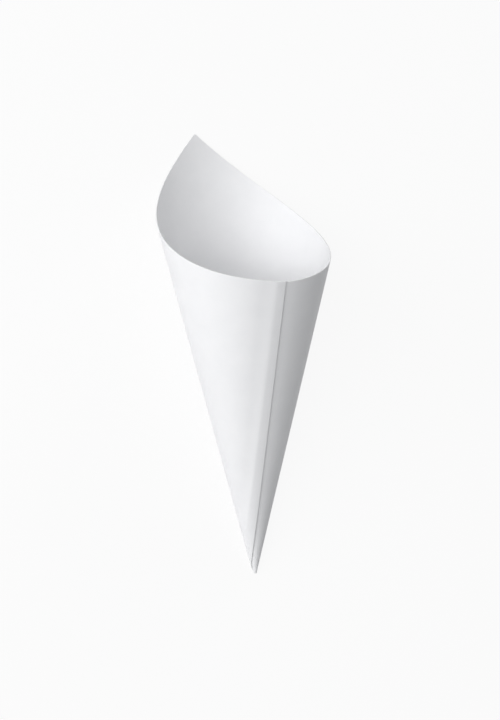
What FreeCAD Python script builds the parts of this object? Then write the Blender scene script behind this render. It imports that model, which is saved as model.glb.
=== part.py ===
import FreeCAD, Part
import math
import os

# Cone paper cup: one square sheet of card, rolled into a cone and glued along one side.
# Millimetres. The cone lies on its side as it comes to rest. Z is up and the floor is z = 0.
# Y runs along the wall that touches the floor, from the tip towards the mouth.
# The origin is the middle of the footprint.

# Card
card_thickness = 0.5      # one layer of card
glue_line = 0.1           # distance between the two layers where they overlap
peak_radius = 0.8         # the peak of the mouth is slightly rounded
blunt_end = 0.8           # length of the blunt end of the flap at the rim
flat_spot = 0.15          # the wall is pressed flat by this much where it lies on the floor

# Cone
half_angle = 13.6         # between the axis and the wall, degrees
tip_hole = 0.15           # what the roll leaves open at its very tip, across

# Blank, measured on the flat sheet from the centre that its tip end is rolled about
flap_rim_reach = 149.5    # to the rim edge on the flap side
tab_rim_reach = 148.3     # to the rim edge on the tab side
peak_corner = 90.5        # corner between the two rim edges, the peak of the mouth, degrees
flap_splay = 2.1          # how far the flap edge is from square to its rim edge, degrees
seam_overlap = 6.0        # width of the tab under the flap
tip_return = 97.0         # how far round the tip the sheet reaches past its lowest point, degrees

# Derived sizes
sine = math.sin(math.radians(half_angle))
cosine = math.cos(math.radians(half_angle))
layer_pitch = card_thickness + glue_line
flat_turn = 360.0 * sine                # one full turn, as an angle on the flat sheet
flap_clearance = (tip_hole / 2.0 + card_thickness / 2.0 * cosine) / sine

# Straight edges of the blank: the direction that each one faces, in degrees on the flat sheet
# from the direction that the rim edge on the flap side faces, and its distance from the centre.
# The tab edge is parallel to the flap edge once the sheet is rolled.
flap_edge = (90.0 - flap_splay, -flap_clearance)
flap_rim = (0.0, flap_rim_reach)
tab_rim = (peak_corner - 180.0, tab_rim_reach)
tab_edge = (-flap_splay - flat_turn - 90.0, flap_clearance + seam_overlap)


def unit(angle):
    """Direction on the flat sheet."""
    return math.cos(math.radians(angle)), math.sin(math.radians(angle))


def crossing(first, second, inset=0.0):
    """Point where two straight edges meet after both have moved inwards by the inset."""
    (ax, ay), (bx, by) = unit(first[0]), unit(second[0])
    p, q = first[1] - inset, second[1] - inset
    det = ax * by - ay * bx
    return (p * by - q * ay) / det, (q * ax - p * bx) / det


def seen_from(centre, point):
    """Direction of a point of the flat sheet from a centre, from -270 to 90 degrees."""
    angle = math.degrees(math.atan2(point[1] - centre[1], point[0] - centre[0]))
    return angle if angle <= 90.0 else angle - 360.0


class Straight:
    """One straight edge of the blank."""

    def __init__(self, edge):
        self.facing, self.reach = edge

    def slant(self, centre, angle):
        """Distance from a centre to the edge in one direction."""
        nx, ny = unit(self.facing)
        reach = self.reach - centre[0] * nx - centre[1] * ny
        return reach / math.cos(math.radians(angle - self.facing))


class Rounded:
    """One rounded corner of the blank, between two straight edges."""

    def __init__(self, before, after, radius):
        self.x, self.y = crossing(before, after, radius)
        self.radius = radius
        self.ends = [(self.x + radius * unit(edge[0])[0], self.y + radius * unit(edge[0])[1])
                     for edge in (before, after)]

    def slant(self, centre, angle):
        """Distance from a centre to the arc in one direction."""
        ux, uy = unit(angle)
        dx, dy = self.x - centre[0], self.y - centre[1]
        across = dx * uy - dy * ux
        return dx * ux + dy * uy + math.sqrt(max(self.radius ** 2 - across ** 2, 0.0))


peak = Rounded(tab_rim, flap_rim, peak_radius)
tab_corner = crossing(tab_edge, tab_rim)
flap = Straight(flap_edge)

# The roll is made of true cones of the same half angle, half a turn each. Where two of them
# meet, the apex slides along the generator that they share, so the wall stays smooth, the sheet
# isn't stretched and each turn nests outside the last one.
apex_step = layer_pitch / (2.0 * sine * cosine)
peak_turn = seen_from((0.0, 0.0), (peak.x, peak.y)) / sine
first_turn = (flap_edge[0] - 180.0) / sine - tip_return


class HalfTurn:
    """One half turn of the roll: a true cone and the sheet's centre that goes with it."""

    def __init__(self, start_turn, apex, centre, side):
        self.start_turn, self.apex, self.centre, self.side = start_turn, apex, centre, side

    def around(self, angle):
        """Angle round the axis, in radians, of a direction on the flat sheet."""
        return math.radians(angle / sine - self.start_turn) + math.pi * self.side

    def following(self):
        """The next half turn."""
        a = math.pi * (1 - self.side)
        generator = FreeCAD.Vector(sine * math.cos(a), sine * math.sin(a), cosine)
        ux, uy = unit((self.start_turn + 180.0) * sine)
        centre = (self.centre[0] - apex_step * ux, self.centre[1] - apex_step * uy)
        return HalfTurn(self.start_turn + 180.0, self.apex - generator * apex_step,
                        centre, 1 - self.side)

    def surface(self, offset):
        """The cone through one face of the card."""
        cone = Part.Cone()
        cone.SemiAngle = math.radians(half_angle)
        cone.Radius = BASE * sine + offset * cosine
        cone.Center = self.apex + FreeCAD.Vector(0, 0, BASE * cosine - offset * sine)
        return cone


BASE = 10.0     # slant distance of the circle that each cone surface is measured from

halves = [HalfTurn(peak_turn - 270.0, FreeCAD.Vector(), (0.0, 0.0), 0)]
for _ in range(2):
    halves.append(halves[-1].following())


def short_generator(centre, near, far, outer):
    """Direction in which the sheet is only as long as its blunt end."""
    for _ in range(60):
        middle = (near + far) / 2.0
        if outer.slant(centre, middle) - flap.slant(centre, middle) < blunt_end:
            near = middle
        else:
            far = middle
    return far


def stations(half, curve, start, end):
    """Directions along a stretch of outline, each with the length of outline before it."""
    fine = [start + (end - start) * k / 2000.0 for k in range(2001)]
    slants = [curve.slant(half.centre, a) for a in fine]
    turning, length = [0.0], [0.0]
    for k in range(2000):
        step = fine[k + 1] - fine[k]
        turning.append(turning[-1] + step / 3.0 + abs(math.log(slants[k + 1] / slants[k])) * 6.0)
        length.append(length[-1] + math.hypot(slants[k + 1] - slants[k],
                                              slants[k] * math.radians(step)))
    count = max(8, math.ceil(turning[-1]))
    chosen, k = [(fine[0], length[0])], 0
    for step in range(1, count):
        while turning[k] < turning[-1] * step / count:
            k += 1
        chosen.append((fine[k], length[k]))
    return chosen + [(fine[-1], length[-1])]


def drawn(half, surface, curve, start, end):
    """A stretch of outline as an edge on one face of the rolled sheet."""
    marks = stations(half, curve, start, end)
    points = [FreeCAD.Base.Vector2d(half.around(a), curve.slant(half.centre, a) - BASE)
              for a, _ in marks]
    line = Part.Geom2d.BSplineCurve2d()
    line.interpolate(Points=points, Parameters=[length for _, length in marks])
    return line.toShape(surface)


def generator(half, surface, curve, angle):
    """The straight edge along the wall from the flap edge to the outline opposite."""
    u = half.around(angle)
    line = Part.Geom2d.Line2dSegment(
        FreeCAD.Base.Vector2d(u, flap.slant(half.centre, angle) - BASE),
        FreeCAD.Base.Vector2d(u, curve.slant(half.centre, angle) - BASE))
    return line.toShape(surface)


# Outline of the blank opposite the flap edge, from the tab to the flap, and the point of the
# flat sheet where each stretch ends
outline = [
    (Straight(tab_edge), tab_corner),
    (Straight(tab_rim), peak.ends[0]),
    (peak, peak.ends[1]),
    (Straight(flap_rim), None),
]

inner, outer = -card_thickness / 2.0, card_thickness / 2.0
faces = []
stretch = 0
for number, half in enumerate(halves):
    begin = first_turn * sine if number == 0 else half.start_turn * sine
    end = (half.start_turn + 180.0) * sine
    if number == len(halves) - 1:
        corner = seen_from(half.centre, crossing(flap_edge, flap_rim))
        end = short_generator(half.centre, corner, corner - 10.0, outline[-1][0])
    spans, at = [], begin
    while True:
        curve, last_point = outline[stretch]
        upto = end if last_point is None else min(seen_from(half.centre, last_point), end)
        spans.append((curve, at, upto))
        at = upto
        if upto >= end:
            break
        stretch += 1
    rims = []
    for offset in (inner, outer):
        surface = half.surface(offset)
        low = drawn(half, surface, flap, begin, end)
        high = [drawn(half, surface, *span) for span in spans]
        sides = [generator(half, surface, spans[0][0], begin),
                 generator(half, surface, spans[-1][0], end)]
        faces.append(Part.Face(surface, Part.Wire([low, sides[1]] + high[::-1] + [sides[0]])))
        rims.append([low] + high + ([sides[0]] if number == 0 else [])
                    + ([sides[1]] if number == len(halves) - 1 else []))
    for one, other in zip(*rims):
        faces.append(Part.makeRuledSurface(one, other, 1))

sheet = Part.Compound(faces)
sheet.sewShape()
cone = Part.Solid(sheet.Shells[0])
if cone.Volume < 0.0:
    cone.reverse()

# At rest the centre of mass is straight above the line where the wall meets the floor: turn
# that line to +Y, then lay the cone down on it
weight = cone.CenterOfMass - halves[1].apex
heading = math.degrees(math.atan2(weight.y, weight.x))
cone.rotate(halves[1].apex, FreeCAD.Vector(0, 0, 1), 90.0 - heading)
cone.rotate(halves[1].apex, FreeCAD.Vector(1, 0, 0), half_angle - 90.0)
box = cone.optimalBoundingBox(True, False)
cone.translate(FreeCAD.Vector(-box.Center.x, -box.Center.y, -box.ZMin - flat_spot))
floor = Part.makeBox(2.0 * box.XLength, 2.0 * box.YLength, 5.0,
                     FreeCAD.Vector(-box.XLength, -box.YLength, -5.0))
cone = cone.cut(floor).Solids[0]

os.makedirs("parts", exist_ok=True)
cone.exportStep("parts/rolled_cone.step")
print("rolled_cone", cone.isValid(), "volume", round(cone.Volume, 1), cone.BoundBox)
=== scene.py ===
import logging
import math
from dataclasses import dataclass, field
from enum import Enum
from typing import Any, Dict, List, Optional, Sequence, Tuple, Union

import bpy
import numpy as np
from mathutils import Matrix, Vector


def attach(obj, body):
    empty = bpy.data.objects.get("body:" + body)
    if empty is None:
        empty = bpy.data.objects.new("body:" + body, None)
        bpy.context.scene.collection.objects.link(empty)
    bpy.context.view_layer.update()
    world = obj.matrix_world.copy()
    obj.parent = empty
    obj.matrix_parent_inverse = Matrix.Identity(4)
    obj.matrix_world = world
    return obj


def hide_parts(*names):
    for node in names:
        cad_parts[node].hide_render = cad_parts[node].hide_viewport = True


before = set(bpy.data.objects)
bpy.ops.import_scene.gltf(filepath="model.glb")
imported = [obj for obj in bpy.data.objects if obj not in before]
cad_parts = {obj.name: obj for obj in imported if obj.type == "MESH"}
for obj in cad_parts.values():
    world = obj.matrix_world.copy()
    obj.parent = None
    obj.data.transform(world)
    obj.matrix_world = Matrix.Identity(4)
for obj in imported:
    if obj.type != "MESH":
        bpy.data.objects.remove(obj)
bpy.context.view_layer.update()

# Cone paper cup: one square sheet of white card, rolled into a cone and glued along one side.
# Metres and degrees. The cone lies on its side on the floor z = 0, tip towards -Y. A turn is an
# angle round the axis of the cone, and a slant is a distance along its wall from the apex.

LOG = logging.getLogger("cone_cup")
MM = 0.001
TINY = 1e-4
SHEET_MAP = "sheet"
WHITE = (1.0, 1.0, 1.0, 1.0)
HALF_TURN, FULL_TURN = 180.0, 360.0


# Sheet -------------------------------------------------------------------------------------


@dataclass(frozen=True)
class Card:
    """The card that the sheet is cut from.

    Attributes:
        thickness: one layer.
        glue_line: gap between two layers.
        edge_round: radius of the softened corners of a cut edge.
    """

    thickness: float = 0.5 * MM
    glue_line: float = 0.1 * MM
    edge_round: float = 0.09 * MM

    @property
    def pitch(self) -> float:
        """Distance between the middles of two layers that lie on each other."""
        return self.thickness + self.glue_line


@dataclass(frozen=True)
class CutEdge:
    """One straight edge of the blank: the direction it faces and its distance from the centre."""

    facing: float
    reach: float

    def moved_in(self, inset: float) -> "CutEdge":
        """The same edge after it has moved inwards."""
        return CutEdge(self.facing, self.reach - inset)

    def slant(self, centre: np.ndarray, angle: np.ndarray) -> np.ndarray:
        """Distance from a centre to the edge.

        Args:
            centre: point of the flat sheet.
            angle: directions on the flat sheet.

        Returns:
            The distance in each direction, infinite where the edge isn't met.
        """
        normal = flat_unit(self.facing)
        reach = self.reach - float(centre @ normal)
        facing = np.cos(np.radians(angle - self.facing))
        return np.where(facing > TINY, reach / np.maximum(facing, TINY), np.inf)

    def crossing(self, other: "CutEdge") -> np.ndarray:
        """Point of the flat sheet where two edges meet."""
        rows = np.array([flat_unit(self.facing), flat_unit(other.facing)])
        return np.linalg.solve(rows, np.array([self.reach, other.reach]))


def flat_unit(angle: float) -> np.ndarray:
    """Direction on the flat sheet."""
    return np.array([math.cos(math.radians(angle)), math.sin(math.radians(angle))])


def seen_from(centre: np.ndarray, point: np.ndarray) -> float:
    """Direction of a point of the flat sheet from a centre, from -270 to 90 degrees."""
    across = point - centre
    angle = math.degrees(math.atan2(across[1], across[0]))
    return angle if angle <= 90.0 else angle - 360.0


@dataclass(frozen=True)
class Blank:
    """The flat sheet, measured from the centre that its tip end is rolled about."""

    card: Card = Card()
    half_angle: float = 13.6
    tip_hole: float = 0.15 * MM
    flap_rim_reach: float = 149.5 * MM
    tab_rim_reach: float = 148.3 * MM
    peak_corner: float = 90.5
    peak_radius: float = 0.8 * MM
    blunt_end: float = 0.8 * MM
    flap_splay: float = 2.1
    seam_overlap: float = 6.0 * MM
    tip_return: float = 97.0

    @property
    def sine(self) -> float:
        """Sine of the half angle: flat angle over angle round the axis."""
        return math.sin(math.radians(self.half_angle))

    @property
    def cosine(self) -> float:
        """Cosine of the half angle."""
        return math.cos(math.radians(self.half_angle))

    @property
    def flap_clearance(self) -> float:
        """How far the flap edge passes from the centre."""
        return (self.tip_hole / 2 + self.card.thickness / 2 * self.cosine) / self.sine

    @property
    def flap_edge(self) -> CutEdge:
        """The long edge that shows as the seam."""
        return CutEdge(90.0 - self.flap_splay, -self.flap_clearance)

    @property
    def flap_rim(self) -> CutEdge:
        """The rim edge from the seam to the peak."""
        return CutEdge(0.0, self.flap_rim_reach)

    @property
    def tab_rim(self) -> CutEdge:
        """The rim edge from the peak to the tab."""
        return CutEdge(self.peak_corner - 180.0, self.tab_rim_reach)

    @property
    def tab_edge(self) -> CutEdge:
        """The long edge under the flap."""
        return CutEdge(-self.flap_splay - 360.0 * self.sine - 90.0,
                       self.flap_clearance + self.seam_overlap)

    @property
    def peak_centre(self) -> np.ndarray:
        """Middle of the arc that rounds the peak."""
        return self.tab_rim.moved_in(self.peak_radius).crossing(
            self.flap_rim.moved_in(self.peak_radius))

    @property
    def peak_turn(self) -> float:
        """Turn at which the peak lies."""
        return seen_from(np.zeros(2), self.peak_centre) / self.sine

    @property
    def roll_start(self) -> float:
        """Turn at which the first half turn of the roll starts, for its peak to lie mid-wall."""
        return self.peak_turn - 1.5 * HALF_TURN

    @property
    def first_turn(self) -> float:
        """Turn at which the sheet begins, under the flap."""
        return (self.flap_edge.facing - HALF_TURN) / self.sine - self.tip_return

    def peak_ends(self, inset: float = 0.0) -> List[np.ndarray]:
        """The two points where the arc of the peak meets its straight edges."""
        radius = self.peak_radius - inset
        return [self.peak_centre + radius * flat_unit(edge.facing)
                for edge in (self.tab_rim, self.flap_rim)]

    def low(self, centre: np.ndarray, angle: np.ndarray, inset: float) -> np.ndarray:
        """Distance from a centre to the flap edge, moved inwards by the inset."""
        normal = flat_unit(self.flap_edge.facing)
        reach = self.flap_edge.reach - float(centre @ normal) - inset
        return reach / np.cos(np.radians(angle - self.flap_edge.facing))

    def high(self, centre: np.ndarray, angle: np.ndarray, inset: float) -> np.ndarray:
        """Distance from a centre to the outline opposite the flap edge.

        Args:
            centre: point of the flat sheet.
            angle: directions on the flat sheet.
            inset: how far the outline has moved inwards.

        Returns:
            The distance in each direction.
        """
        edges = (self.tab_edge, self.tab_rim, self.flap_rim)
        reach = np.min([e.moved_in(inset).slant(centre, angle) for e in edges], axis=0)
        first, last = (seen_from(centre, p) for p in self.peak_ends(inset))
        away = self.peak_centre - centre
        ux, uy = np.cos(np.radians(angle)), np.sin(np.radians(angle))
        across = away[0] * uy - away[1] * ux
        radius = self.peak_radius - inset
        arc = away[0] * ux + away[1] * uy + np.sqrt(np.maximum(radius ** 2 - across ** 2, 0.0))
        return np.where((angle > first) & (angle < last), arc, reach)


# Roll --------------------------------------------------------------------------------------


@dataclass(frozen=True)
class HalfTurn:
    """Half a turn of the roll, a true cone: where it starts, its apex and its flat centre."""

    start: float
    apex: np.ndarray
    centre: np.ndarray


@dataclass
class Roll:
    """How the flat sheet is rolled, and how the cone lies on the floor.

    Attributes:
        blank: the flat sheet.
        resting_heading: turn of the wall that touches the floor.
        resting_apex: place of the middle half turn's apex.
        front: turn of the wall that is drawn in a little.
        squeeze: how far the wall is drawn in there.
        crease: softness of the crease along the edge of the tab, as a share of the rise.
        tight_from: slant up to which the roll stays even.
        tight_to: slant from which the wall keeps to one circle.
    """

    blank: Blank = field(default_factory=Blank)
    resting_heading: float = -88.38516
    resting_apex: Tuple[float, float, float] = (-0.12392 * MM, -106.44282 * MM, 0.1 * MM)
    front: float = -11.0
    squeeze: float = 0.36 * MM
    crease: float = 0.35
    tight_from: float = 12.0 * MM
    tight_to: float = 45.0 * MM

    def __post_init__(self) -> None:
        """Works out the half turns from the first one on."""
        blank = self.blank
        step = blank.card.pitch / (2 * blank.sine * blank.cosine)
        halves = [HalfTurn(blank.roll_start, np.zeros(3), np.zeros(2))]
        for _ in range(2):
            last = halves[-1]
            turn = last.start + HALF_TURN
            generator = self.generator(np.array([turn]))[0]
            halves.append(HalfTurn(turn, last.apex - step * generator,
                                   last.centre - step * flat_unit(turn * blank.sine)))
        self.halves = halves
        rest = math.radians(90.0 - self.resting_heading)
        self.lay = Matrix.Rotation(math.radians(blank.half_angle - 90.0), 3, "X") @ \
            Matrix.Rotation(rest, 3, "Z")

    def heading(self, turn: np.ndarray) -> np.ndarray:
        """Angle round the axis, in radians, of each turn."""
        return np.radians(turn - self.blank.roll_start)

    def generator(self, turn: np.ndarray) -> np.ndarray:
        """Direction from the apex along the wall."""
        u = self.heading(turn)
        s, c = self.blank.sine, self.blank.cosine
        return np.stack([s * np.cos(u), s * np.sin(u), np.full_like(u, c)], -1)

    def outward(self, turn: np.ndarray) -> np.ndarray:
        """Direction square to the wall, away from the axis."""
        u = self.heading(turn)
        s, c = self.blank.sine, self.blank.cosine
        return np.stack([c * np.cos(u), c * np.sin(u), np.full_like(u, -s)], -1)

    def half_of(self, turn: np.ndarray) -> np.ndarray:
        """Number of the half turn that each turn lies in."""
        index = np.floor((turn - self.halves[0].start) / HALF_TURN)
        return np.clip(index, 0, len(self.halves) - 1).astype(int)

    def ridge_turn(self, slant: np.ndarray) -> np.ndarray:
        """Turn at which the flap first lies over the edge of the tab, at each slant."""
        edge = self.blank.tab_edge
        reach = np.clip(edge.reach / np.maximum(slant, 1e-6), -1.0, 1.0)
        met = (edge.facing + np.degrees(np.arccos(reach))) / self.blank.sine
        return np.maximum(met, self.blank.first_turn) + FULL_TURN

    def shift(self, turn: np.ndarray, slant: np.ndarray) -> np.ndarray:
        """How far the wall stands out from the even roll.

        The wall keeps to one circle and only the flap rises over the tab, on a tangent, with a
        soft crease along the edge of the tab. Near the tip the roll stays even.

        Args:
            turn: turn of each point.
            slant: distance of each point from its apex.

        Returns:
            The distance square to the wall.
        """
        pitch = self.blank.card.pitch
        half = self.half_of(turn)
        starts = np.array([h.start for h in self.halves])
        even = np.select(
            [half == 0, half == 2],
            [-pitch / 2 * (1 - np.cos(np.radians(turn - starts[1]))),
             pitch / 2 * (1 - np.cos(np.radians(turn - starts[2])))], 0.0)
        off = np.radians(turn - self.front)
        circle = np.where(np.cos(off) > 0, -self.squeeze * np.cos(off) ** 2, 0.0)
        ridge = self.ridge_turn(slant)
        reach = np.degrees(np.sqrt(2 * pitch / np.maximum(slant * self.blank.sine, 1e-5)))
        rise = np.clip(1.0 - (ridge - turn) / reach, 0.0, None) ** 2
        blend = np.clip(0.5 + 0.5 * (1.0 - rise) / self.crease, 0.0, 1.0)
        rise = (1 - blend) + blend * rise - self.crease * blend * (1 - blend)
        rise = np.where(turn > starts[1], rise, 0.0)
        loose = np.clip((slant - self.tight_from) / (self.tight_to - self.tight_from), 0.0, 1.0)
        loose = loose * loose * (3 - 2 * loose)
        return loose * (circle + pitch * rise - even)

    def place(self, turn: np.ndarray, slant: np.ndarray, offset: np.ndarray) -> np.ndarray:
        """Points of the rolled sheet, as it lies on the floor.

        Args:
            turn: turn of each point.
            slant: distance of each point from the apex of its half turn.
            offset: distance of each point from the middle of the card.

        Returns:
            One row of x, y, z for each point.
        """
        apex = np.array([h.apex for h in self.halves])[self.half_of(turn)]
        out = (offset + self.shift(turn, slant))[:, None]
        rolled = apex + slant[:, None] * self.generator(turn) + out * self.outward(turn)
        return self.on_floor(rolled)

    def on_floor(self, rolled: np.ndarray) -> np.ndarray:
        """Lays points of the roll down on the floor, pressed flat where they'd go under it."""
        points = (rolled - self.halves[1].apex) @ np.array(self.lay).T
        points = points + np.array(self.resting_apex)
        points[:, 2] = np.maximum(points[:, 2], 0.0)
        return points


# Finishes ----------------------------------------------------------------------------------

Number = Union[float, "Tone"]


class Tone:
    """A number socket of a material, so that sums on it read as sums."""

    def __init__(self, sheet: "NodeSheet", socket: bpy.types.NodeSocket) -> None:
        """Wraps one output socket."""
        self.sheet, self.socket = sheet, socket

    def _math(self, operation: str, first: Number, second: Number) -> "Tone":
        """Adds one Math node."""
        return self.sheet.add("ShaderNodeMath", {"operation": operation}, {0: first, 1: second})

    def __add__(self, other: Number) -> "Tone":
        """self + other."""
        return self._math("ADD", self, other)

    def __radd__(self, other: Number) -> "Tone":
        """other + self."""
        return self._math("ADD", other, self)

    def __sub__(self, other: Number) -> "Tone":
        """self - other."""
        return self._math("SUBTRACT", self, other)

    def __rsub__(self, other: Number) -> "Tone":
        """other - self."""
        return self._math("SUBTRACT", other, self)

    def __mul__(self, other: Number) -> "Tone":
        """self * other."""
        return self._math("MULTIPLY", self, other)

    def __rmul__(self, other: Number) -> "Tone":
        """other * self."""
        return self._math("MULTIPLY", other, self)

    def highest(self, other: Number) -> "Tone":
        """The higher of the two."""
        return self._math("MAXIMUM", self, other)


class NodeSheet:
    """The nodes of one material or world."""

    def __init__(self, owner: Any) -> None:
        """Empties the owner's nodes."""
        owner.use_nodes = True
        self.tree = owner.node_tree
        self.tree.nodes.clear()

    def add(self, kind: str, settings: Optional[Dict[str, Any]] = None,
            inputs: Optional[Dict[Union[int, str], Any]] = None,
            output: Union[int, str] = 0) -> Tone:
        """Adds a node.

        Args:
            kind: the node's type.
            settings: properties that are set first; "stops" gives a ramp's positions and greys.
            inputs: value or link of each socket, by name or number.
            output: the socket that is returned.

        Returns:
            The chosen output socket.
        """
        node = self.tree.nodes.new(kind)
        for name, value in (settings or {}).items():
            if name == "stops":
                ramp = node.color_ramp
                while len(ramp.elements) < len(value):
                    ramp.elements.new(0.5)
                for element, (position, grey) in zip(ramp.elements, value):
                    element.position, element.color = position, (grey, grey, grey, 1.0)
            else:
                setattr(node, name, value)
        for key, value in (inputs or {}).items():
            socket = node.inputs[key]
            if isinstance(value, Tone):
                self.tree.links.new(value.socket, socket)
            else:
                socket.default_value = value
        chosen = node.outputs[output] if len(node.outputs) else None
        return Tone(self, chosen)

    def seen(self) -> Tone:
        """1 where the camera sees, straight or by a reflection or through glass."""
        camera, glossy, through = (self.add("ShaderNodeLightPath", output=f"Is {ray} Ray")
                                   for ray in ("Camera", "Glossy", "Transmission"))
        return camera.highest(glossy).highest(through)

    def noise(self, where: Tone, scale: float, detail: float = 2.0,
              roughness: float = 0.5) -> Tone:
        """A noise pattern, from 0 to 1."""
        return self.add("ShaderNodeTexNoise", {"noise_dimensions": "3D"},
                        {"Vector": where, "Scale": scale, "Detail": detail,
                         "Roughness": roughness}, "Fac")

    def stretched(self, where: Tone, scale: Tuple[float, float, float]) -> Tone:
        """The same place with each axis scaled."""
        return self.add("ShaderNodeMapping", {"vector_type": "POINT"},
                        {"Vector": where, "Scale": scale})

    def blend(self, amount: Tone, first: Sequence[float], second: Sequence[float]) -> Tone:
        """A colour between two others."""
        return self.add("ShaderNodeMix", {"data_type": "RGBA"},
                        {0: amount, 6: (*first, 1.0), 7: (*second, 1.0)}, 2)

    def ramp(self, amount: Tone, stops: Sequence[Tuple[float, float]]) -> Tone:
        """A number remapped between stops."""
        return self.add("ShaderNodeValToRGB", {"stops": stops}, {0: amount})


@dataclass(frozen=True)
class CardFace:
    """The smooth face of the card: fibres pressed flat, with a faint cloudiness.

    Attributes:
        name: name of the material.
        bright, cloudy: colours of its lighter and its duller places.
        roughness, roughness_spread: lowest roughness, and how much the fibres add to it.
        specular: strength of the reflection.
        fibre_size, cloud_size: sizes of the two patterns.
        grain_scale, grain_stretch: pattern along the run of the fibres, on the flat sheet.
        fibre_relief, relief_strength: height of the fibres, and how strongly it shows.
    """

    name: str = "white_card_face"
    bright: Tuple[float, float, float] = (0.862, 0.863, 0.874)
    cloudy: Tuple[float, float, float] = (0.835, 0.837, 0.850)
    roughness: float = 0.51
    roughness_spread: float = 0.10
    specular: float = 0.32
    fibre_size: float = 0.35 * MM
    cloud_size: float = 9.0 * MM
    grain_scale: float = 170.0
    grain_stretch: Tuple[float, float, float] = (1.0, 5.0, 1.0)
    fibre_relief: float = 0.02 * MM
    relief_strength: float = 0.35

    def make(self) -> bpy.types.Material:
        """Makes the material."""
        material = bpy.data.materials.new(self.name)
        sheet = NodeSheet(material)
        place = sheet.add("ShaderNodeTexCoord", output="Object")
        flat = sheet.add("ShaderNodeUVMap", {"uv_map": SHEET_MAP})
        clouds = sheet.noise(place, 1.0 / self.cloud_size, 3.0, 0.55)
        fine = sheet.noise(place, 1.0 / self.fibre_size, 4.0, 0.6)
        along = sheet.noise(sheet.stretched(flat, self.grain_stretch), self.grain_scale, 3.0,
                            0.55)
        tint = sheet.ramp(clouds * 0.55 + along * 0.25 + fine * 0.2, [(0.34, 0.0), (0.66, 1.0)])
        relief = fine * 0.6 + along * 0.4
        bump = sheet.add("ShaderNodeBump", {},
                         {"Strength": self.relief_strength, "Distance": self.fibre_relief,
                          "Height": relief}, "Normal")
        shader = sheet.add("ShaderNodeBsdfPrincipled", {}, {
            "Base Color": sheet.blend(tint, self.cloudy, self.bright),
            "Roughness": self.roughness + fine * self.roughness_spread,
            "Normal": bump,
            "Specular IOR Level": self.specular,
        })
        sheet.add("ShaderNodeOutputMaterial", {}, {"Surface": shader})
        return material


@dataclass(frozen=True)
class CardCutEdge:
    """The cut edge of the card, where the plies and the loose fibres show.

    Attributes:
        name: name of the material.
        bright, shaded: colours of its lighter and its duller places.
        roughness, roughness_spread: lowest roughness, and how much the tufts add to it.
        specular: strength of the reflection.
        fibre_size, tuft_size: sizes of the two patterns.
        fibre_relief, relief_strength: height of the fibres, and how strongly it shows.
    """

    name: str = "white_card_cut_edge"
    bright: Tuple[float, float, float] = (0.90, 0.905, 0.905)
    shaded: Tuple[float, float, float] = (0.80, 0.805, 0.805)
    roughness: float = 0.78
    roughness_spread: float = 0.12
    specular: float = 0.2
    fibre_size: float = 0.12 * MM
    tuft_size: float = 0.48 * MM
    fibre_relief: float = 0.05 * MM
    relief_strength: float = 0.6

    def make(self) -> bpy.types.Material:
        """Makes the material."""
        material = bpy.data.materials.new(self.name)
        sheet = NodeSheet(material)
        place = sheet.add("ShaderNodeTexCoord", output="Object")
        fibres = sheet.noise(place, 1.0 / self.fibre_size, 3.0, 0.65)
        tufts = sheet.noise(place, 1.0 / self.tuft_size, 2.0, 0.5)
        tone = sheet.ramp(fibres * 0.6 + tufts * 0.4, [(0.3, 0.0), (0.7, 1.0)])
        bump = sheet.add("ShaderNodeBump", {},
                         {"Strength": self.relief_strength, "Distance": self.fibre_relief,
                          "Height": fibres * 0.7 + tufts * 0.3}, "Normal")
        shader = sheet.add("ShaderNodeBsdfPrincipled", {}, {
            "Base Color": sheet.blend(tone, self.shaded, self.bright),
            "Roughness": self.roughness + tufts * self.roughness_spread,
            "Normal": bump,
            "Specular IOR Level": self.specular,
        })
        sheet.add("ShaderNodeOutputMaterial", {}, {"Surface": shader})
        return material


@dataclass(frozen=True)
class PaleFloor:
    """The plain pale floor: near white to the camera, with the object's shadow on it.

    Attributes:
        name: name of the material.
        colour, dull: its colour, and that of its grain.
        roughness: its roughness.
        grain_scale: scale of the grain.
        glow_seen: how much of what the camera sees of it is plain white.
    """

    name: str = "pale_floor"
    colour: Tuple[float, float, float] = (0.90, 0.90, 0.90)
    dull: Tuple[float, float, float] = (0.891, 0.891, 0.891)
    roughness: float = 0.9
    grain_scale: float = 220.0
    glow_seen: float = 0.9

    def make(self) -> bpy.types.Material:
        """Makes the material."""
        material = bpy.data.materials.new(self.name)
        sheet = NodeSheet(material)
        place = sheet.add("ShaderNodeTexCoord", output="Object")
        grain = sheet.noise(place, self.grain_scale, 3.0, 0.5)
        shader = sheet.add("ShaderNodeBsdfPrincipled", {}, {
            "Base Color": sheet.blend(grain, self.dull, self.colour),
            "Roughness": self.roughness,
            "Specular IOR Level": 0.0,
        })
        white = sheet.add("ShaderNodeEmission", {}, {"Color": WHITE, "Strength": 1.0})
        both = sheet.add("ShaderNodeMixShader", {},
                         {0: sheet.seen() * self.glow_seen, 1: shader, 2: white})
        sheet.add("ShaderNodeOutputMaterial", {}, {"Surface": both})
        return material


# Pieces ------------------------------------------------------------------------------------


class Side(Enum):
    """The two finishes of the sheet, by their material slots."""

    FACE = 0
    CUT = 1


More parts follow.
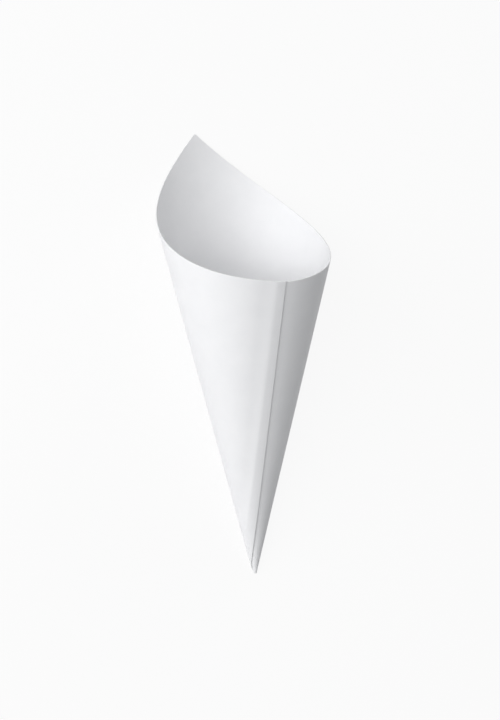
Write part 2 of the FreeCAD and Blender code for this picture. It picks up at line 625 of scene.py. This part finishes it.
@dataclass
class RolledCone:
    """The whole cup: one sheet with soft cut edges, rolled and laid down.

    Attributes:
        roll: how it is rolled.
        rows: faces from the flap edge to the outline opposite.
        plain_step, tab_step, flap_step: turn that one column of faces spans on the plain wall,
            along the tab edge and near the seam.
        peak_steps: columns of faces round the peak.
        map_span: length of the flat sheet that its UV map spans.
        true_weight: how firmly the wide faces hold their normals.
    """

    roll: Roll = field(default_factory=Roll)
    rows: int = 72
    plain_step: float = 2.0
    tab_step: float = 1.5
    flap_step: float = 0.6
    peak_steps: int = 8
    map_span: float = 300.0 * MM
    true_weight: int = 60

    def columns(self) -> np.ndarray:
        """Turns of the sheet's columns, with one at each corner of the outline."""
        blank, halves = self.roll.blank, self.roll.halves
        tab_corner = seen_from(halves[0].centre, blank.tab_edge.crossing(blank.tab_rim))
        ends = [seen_from(halves[1].centre, p) / blank.sine for p in blank.peak_ends()]
        marks = [(blank.first_turn, self.tab_step), (tab_corner / blank.sine, self.plain_step),
                 (ends[0], (ends[1] - ends[0]) / self.peak_steps), (ends[1], self.plain_step),
                 (halves[2].start, self.flap_step), (self.last_turn(), 0.0)]
        turns: List[float] = []
        for (start, step), (end, _) in zip(marks, marks[1:]):
            count = max(1, round((end - start) / step))
            turns += [start + (end - start) * k / count for k in range(count)]
        return np.array(turns + [marks[-1][0]])

    def last_turn(self, inset: float = 0.0) -> float:
        """Turn at which the flap is only as long as its blunt end.

        Args:
            inset: how far the outline has moved inwards.

        Returns:
            The turn.
        """
        blank, half = self.roll.blank, self.roll.halves[2]
        near = seen_from(half.centre, blank.flap_edge.crossing(blank.flap_rim))
        far = near - 10.0
        for _ in range(60):
            middle = np.array([(near + far) / 2])
            length = (blank.high(half.centre, middle, inset)
                      - blank.low(half.centre, middle, inset))[0] + 2 * inset
            near, far = (middle[0], far) if length < blank.blunt_end else (near, middle[0])
        return far / blank.sine

    def layers(self) -> List[Tuple[float, float]]:
        """Inset and offset of each layer through the card, from the inside out.

        Returns:
            The pairs, which round the corners of the cut edge in two steps.
        """
        card = self.roll.blank.card
        half, soft = card.thickness / 2, card.edge_round
        diagonal = soft * (1 - math.sqrt(0.5))
        return [(soft, -half), (diagonal, -half + diagonal), (0.0, -half + soft),
                (0.0, half - soft), (diagonal, half - diagonal), (soft, half)]

    def flat_sheet(self, columns: int) -> bpy.types.Object:
        """Adds a flat grid and extrudes it through the card's layers.

        Args:
            columns: number of columns of faces.

        Returns:
            The object, one unit high per layer.
        """
        bpy.ops.object.select_all(action="DESELECT")
        bpy.ops.mesh.primitive_grid_add(x_subdivisions=columns, y_subdivisions=self.rows,
                                        size=2.0, location=(0.0, 0.0, 0.0))
        piece = bpy.context.active_object
        bpy.ops.object.mode_set(mode="EDIT")
        bpy.ops.mesh.select_all(action="SELECT")
        for _ in range(len(self.layers()) - 1):
            bpy.ops.mesh.extrude_region_move(TRANSFORM_OT_translate={"value": (0.0, 0.0, 1.0)})
        bpy.ops.mesh.select_all(action="DESELECT")
        bpy.ops.object.mode_set(mode="OBJECT")
        return piece

    def rolled_up(self, piece: bpy.types.Object, turns: np.ndarray) -> None:
        """Rolls the flat sheet into the cone and keeps its flat place as a UV map.

        Args:
            piece: the extruded sheet.
            turns: turn of each column.
        """
        blank, roll, mesh = self.roll.blank, self.roll, piece.data
        flat = np.empty(len(mesh.vertices) * 3)
        mesh.vertices.foreach_get("co", flat)
        flat = flat.reshape(-1, 3)
        column = np.rint((flat[:, 0] + 1) / 2 * (len(turns) - 1)).astype(int)
        share = (flat[:, 1] + 1) / 2
        layer = np.rint(flat[:, 2] - flat[:, 2].min()).astype(int)
        inset, offset = (np.array(v)[layer] for v in zip(*self.layers()))
        turn = turns[column]
        for value in {v for v, _ in self.layers()}:
            turn[(column == len(turns) - 1) & (inset == value)] = self.last_turn(value)
        angle = turn * blank.sine
        half = roll.half_of(turn)
        low, high = np.empty(len(turn)), np.empty(len(turn))
        for number, here in enumerate(roll.halves):
            for value in {v for v, _ in self.layers()}:
                pick = (half == number) & (inset == value)
                low[pick] = blank.low(here.centre, angle[pick], value)
                high[pick] = blank.high(here.centre, angle[pick], value)
        slant = low + (high - low) * share
        turn = turn + np.degrees(np.where(column == 0, inset, 0.0) / slant) / blank.sine
        mesh.vertices.foreach_set("co", roll.place(turn, slant, offset).ravel())

        angle = np.radians(turn * blank.sine)
        centre = np.array([h.centre for h in roll.halves])[half]
        spread = centre + slant[:, None] * np.stack([np.cos(angle), np.sin(angle)], -1)
        corner = np.empty(len(mesh.loops), dtype=int)
        mesh.loops.foreach_get("vertex_index", corner)
        layer_map = mesh.uv_layers.get(SHEET_MAP) or mesh.uv_layers.new(name=SHEET_MAP)
        layer_map.data.foreach_set("uv", (spread / self.map_span)[corner].ravel())
        mesh.update()

    def dress(self, piece: bpy.types.Object) -> None:
        """Gives the faces and the cut edges their finishes."""
        mesh = piece.data
        mesh.materials.append(CardFace().make())
        mesh.materials.append(CardCutEdge().make())
        upright = np.empty(len(mesh.polygons) * 3)
        mesh.polygons.foreach_get("normal", upright)
        cut = np.abs(upright.reshape(-1, 3)[:, 2]) < 0.5
        slots = np.where(cut, Side.CUT.value, Side.FACE.value)
        mesh.polygons.foreach_set("material_index", slots)

    def facing_out(self, piece: bpy.types.Object) -> None:
        """Turns the faces outwards if the sheet has come out inside out."""
        mesh = piece.data
        mesh.calc_loop_triangles()
        points = np.empty(len(mesh.vertices) * 3)
        mesh.vertices.foreach_get("co", points)
        corners = np.empty(len(mesh.loop_triangles) * 3, dtype=int)
        mesh.loop_triangles.foreach_get("vertices", corners)
        a, b, c = np.moveaxis(points.reshape(-1, 3)[corners.reshape(-1, 3)], 1, 0)
        volume = float((a * np.cross(b, c)).sum() / 6)
        LOG.info("sheet volume %.1f mm3", volume * 1e9)
        if volume < 0:
            mesh.flip_normals()

    def smoothed(self, piece: bpy.types.Object) -> None:
        """Shades the wall smooth and keeps the wide faces true next to the soft edges."""
        bpy.ops.object.select_all(action="DESELECT")
        piece.select_set(True)
        bpy.context.view_layer.objects.active = piece
        bpy.ops.object.shade_smooth()
        modifier = piece.modifiers.new("true_faces", "WEIGHTED_NORMAL")
        modifier.mode = "FACE_AREA"
        modifier.weight = self.true_weight
        bpy.ops.object.modifier_apply(modifier=modifier.name)

    def build(self) -> bpy.types.Object:
        """Builds the cup.

        Returns:
            The finished piece.
        """
        turns = self.columns()
        piece = self.flat_sheet(len(turns) - 1)
        piece.name = piece.data.name = "rolled_card_cone"
        self.dress(piece)
        self.rolled_up(piece, turns)
        self.facing_out(piece)
        self.smoothed(piece)
        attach(piece, "root")
        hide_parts("rolled_cone")
        LOG.info("%s: %d faces", piece.name, len(piece.data.polygons))
        return piece


@dataclass(frozen=True)
class SoftBox:
    """A rectangular soft lamp, placed by the angles to it from the camera's own direction.

    Attributes:
        name: name of the lamp.
        side: angle to the right.
        rise: angle upwards.
        power: watts.
        width, height: size of the lamp.
        distance: how far away it stands.
    """

    name: str
    side: float
    rise: float
    power: float
    width: float = 0.9
    height: float = 0.9
    distance: float = 1.6


SOFT_BOXES = (
    SoftBox("key_left", side=-27.0, rise=5.0, power=23.5, width=1.8),
    SoftBox("fill_into_mouth", side=100.0, rise=60.0, power=7.2),
)


@dataclass
class Studio:
    """The floor, the lamps and the camera.

    Attributes:
        roll: the cone that the camera and the lamps are placed by.
        floor_size: side of the floor.
        focal_px: focal length in pixels of the photograph.
        long_side_px: long side of the photograph.
        millimetres_per_unit: millimetres that one pixel spans at the apex.
        aim_across, aim_up: pixels from the apex to the middle of the picture.
        look_down: angle at which the camera looks down on the standing cone.
        roll_left: how far the camera is rolled.
        seen_turn: turn of the standing cone about its axis.
        ambient, ambient_colour: strength and colour of the light from all round.
        sensor: width of the sensor in millimetres.
        nearest, farthest: distances between which the camera sees.
        lamps_aim: point that the lamps look at.
    """

    roll: Roll = field(default_factory=Roll)
    floor_size: float = 4.0
    focal_px: float = 1458.98
    long_side_px: float = 720.0
    millimetres_per_unit: float = 0.47
    aim_across: float = 5.32084
    aim_up: float = -215.68439
    look_down: float = 12.0462
    roll_left: float = 1.05274
    seen_turn: float = 39.4642
    ambient: float = 0.27
    ambient_colour: Tuple[float, float, float] = (0.97, 0.985, 1.0)
    sensor: float = 36.0
    nearest: float = 0.01
    farthest: float = 20.0
    lamps_aim: Tuple[float, float, float] = (0.0, 0.0, 0.03)

    def photo_axes(self) -> Tuple[Vector, Vector, Vector]:
        """Right, up and forward of the camera while the cone stands on its tip."""
        e, r = math.radians(self.look_down), math.radians(self.roll_left)
        right = Vector((1.0, 0.0, 0.0))
        up = Vector((0.0, math.sin(e), math.cos(e)))
        ahead = Vector((0.0, math.cos(e), -math.sin(e)))
        return (math.cos(r) * right - math.sin(r) * up,
                math.sin(r) * right + math.cos(r) * up, ahead)

    def laid(self, direction: Vector) -> Vector:
        """A direction by the standing cone, as it is once the cone lies on the floor."""
        round_axis = 90.0 - self.seen_turn - self.roll.blank.roll_start
        return self.roll.lay @ (Matrix.Rotation(math.radians(round_axis), 3, "Z") @ direction)

    def apex(self) -> Vector:
        """The apex that the camera is measured from, on the floor frame."""
        first, second = self.roll.halves[0].apex, self.roll.halves[1].apex
        return self.roll.lay @ Vector(first - second) + Vector(self.roll.resting_apex)

    def camera(self) -> bpy.types.Object:
        """Adds the camera at the photograph's angle."""
        right, up, ahead = self.photo_axes()
        unit = self.millimetres_per_unit * MM
        back = -(self.aim_across * right + self.aim_up * up) - self.focal_px * ahead
        data = bpy.data.cameras.new("camera")
        data.sensor_width = self.sensor
        data.lens = self.focal_px / self.long_side_px * self.sensor
        data.clip_start, data.clip_end = self.nearest, self.farthest
        camera = bpy.data.objects.new("camera", data)
        bpy.context.scene.collection.objects.link(camera)
        turned = Matrix([self.laid(right), self.laid(up), -self.laid(ahead)]).transposed()
        camera.matrix_world = Matrix.Translation(self.apex() + self.laid(back) * unit) @ \
            turned.to_4x4()
        bpy.context.scene.camera = camera
        return camera

    def lamp(self, box: "SoftBox") -> bpy.types.Object:
        """Adds a soft lamp that looks at the middle of the cone.

        Args:
            box: the lamp's sizes and its place by the standing cone.

        Returns:
            The lamp.
        """
        right, up, ahead = self.photo_axes()
        side, rise = math.radians(box.side), math.radians(box.rise)
        towards = self.laid(math.cos(rise) * (math.sin(side) * right - math.cos(side) * ahead)
                            + math.sin(rise) * up)
        data = bpy.data.lights.new(box.name, "AREA")
        data.shape, data.energy = "RECTANGLE", box.power
        data.size, data.size_y = box.width, box.height
        lamp = bpy.data.objects.new(box.name, data)
        bpy.context.scene.collection.objects.link(lamp)
        across = self.laid(up).cross(towards).normalized()
        turned = Matrix([across, towards.cross(across), towards]).transposed()
        lamp.matrix_world = Matrix.Translation(
            Vector(self.lamps_aim) + towards * box.distance) @ turned.to_4x4()
        return lamp

    def world(self) -> None:
        """Even light all round, white where the camera sees it."""
        world = bpy.data.worlds.new("studio")
        bpy.context.scene.world = world
        sheet = NodeSheet(world)
        lit = sheet.add("ShaderNodeBackground", {},
                        {"Color": (*self.ambient_colour, 1.0), "Strength": self.ambient})
        white = sheet.add("ShaderNodeBackground", {}, {"Color": WHITE, "Strength": 1.0})
        both = sheet.add("ShaderNodeMixShader", {}, {0: sheet.seen(), 1: lit, 2: white})
        sheet.add("ShaderNodeOutputWorld", {}, {"Surface": both})

    def floor(self) -> bpy.types.Object:
        """Adds the floor."""
        bpy.ops.object.select_all(action="DESELECT")
        bpy.ops.mesh.primitive_plane_add(size=self.floor_size, location=(0.0, 0.0, 0.0))
        floor = bpy.context.active_object
        floor.name = floor.data.name = "floor"
        floor.data.materials.append(PaleFloor().make())
        return floor

    def build(self) -> None:
        """Sets the whole stage."""
        self.floor()
        self.world()
        for box in SOFT_BOXES:
            self.lamp(box)
        self.camera()
        bpy.context.scene.view_settings.view_transform = "Standard"
        LOG.info("studio: floor, lamps, world and camera")


def main() -> None:
    """Builds the cup, then the studio round it."""
    logging.basicConfig(level=logging.INFO, format="%(name)s: %(message)s")
    roll = Roll()
    RolledCone(roll).build()
    Studio(roll).build()


if __name__ == "__main__":
    main()
